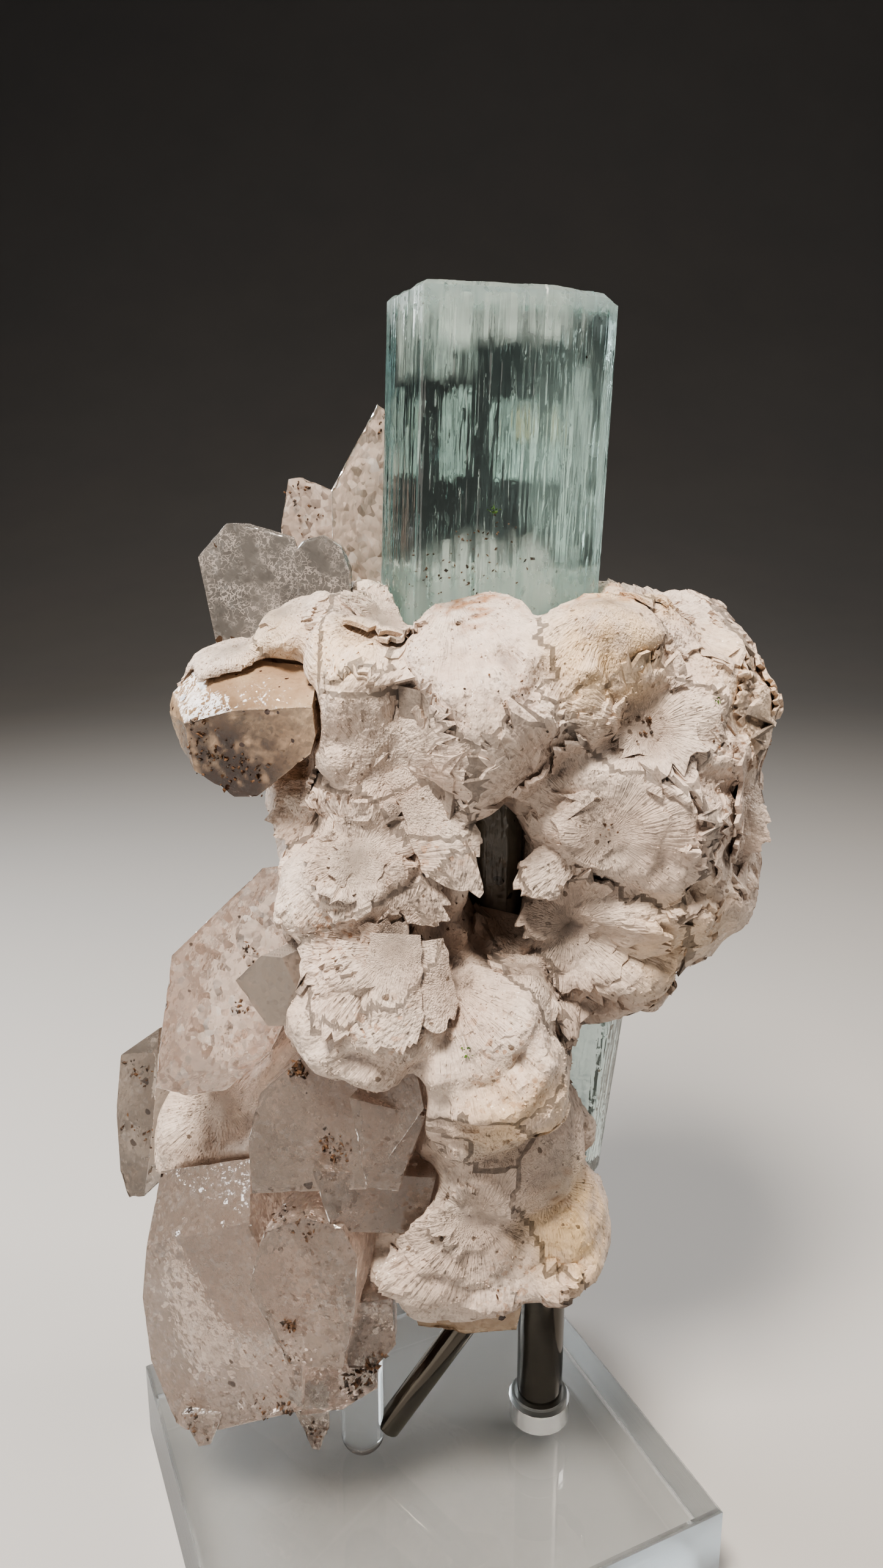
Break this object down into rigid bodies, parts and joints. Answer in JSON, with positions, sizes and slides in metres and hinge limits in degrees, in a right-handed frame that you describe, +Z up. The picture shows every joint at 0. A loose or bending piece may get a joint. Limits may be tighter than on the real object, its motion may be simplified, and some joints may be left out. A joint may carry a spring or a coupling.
{
  "type": "aquamarine and apatite mineral specimen",
  "caption": "Aquamarine prism with blocky apatite crystals and mica on lumpy white albite, held on a steel post and pegs in a clear acrylic block for display.",
  "frame": {"origin": "on the acrylic block's underside, midway between its left and right sides and below the specimen", "axes": "+Z up through the specimen towards the tall crystal's flat top, +X to the viewer's right, +Y away from the viewer"},
  "size_m": [0.0718, 0.0662, 0.1295],
  "materials": {
    "albite": "sugary, flaky white to pinkish albite with rust stains and dark specks",
    "aquamarine": "pale blue-green clear crystal with fine lengthwise striations",
    "smoky_crystal": "dark grey-green clear crystal with striated faces",
    "pink_apatite": "pale pinkish, cloudy see-through crystal with etched faces",
    "mica": "silvery grey layered mica with a pearly face",
    "brown_apatite": "tan to purple-brown cloudy crystal with dark specks",
    "grey_apatite": "smoky grey see-through crystal with an etched face",
    "etched_apatite": "grey-pink crystal with finely etched, sparkling faces",
    "clear_acrylic": "clear cast acrylic with polished faces and sawn edges",
    "polished_steel": "polished round bar",
    "frosted_acrylic": "milky frosted wall of a drilled socket"
  },
  "bodies": {
    "root": {"albite_matrix": "albite", "aquamarine_tall": "aquamarine", "aquamarine_lower": "aquamarine", "aquamarine_inner": "smoky_crystal", "apatite_upper": "pink_apatite", "mica_book": "mica", "apatite_brown": "brown_apatite", "apatite_left": "pink_apatite", "small_hexagon": "brown_apatite", "apatite_far_left": "grey_apatite", "apatite_lower": "etched_apatite", "apatite_lumps": "brown_apatite", "acrylic_block": "clear_acrylic", "support_post": "polished_steel", "post_cup": "frosted_acrylic", "clear_peg": "clear_acrylic", "slanted_prong": "polished_steel"}
  },
  "joints": []
}
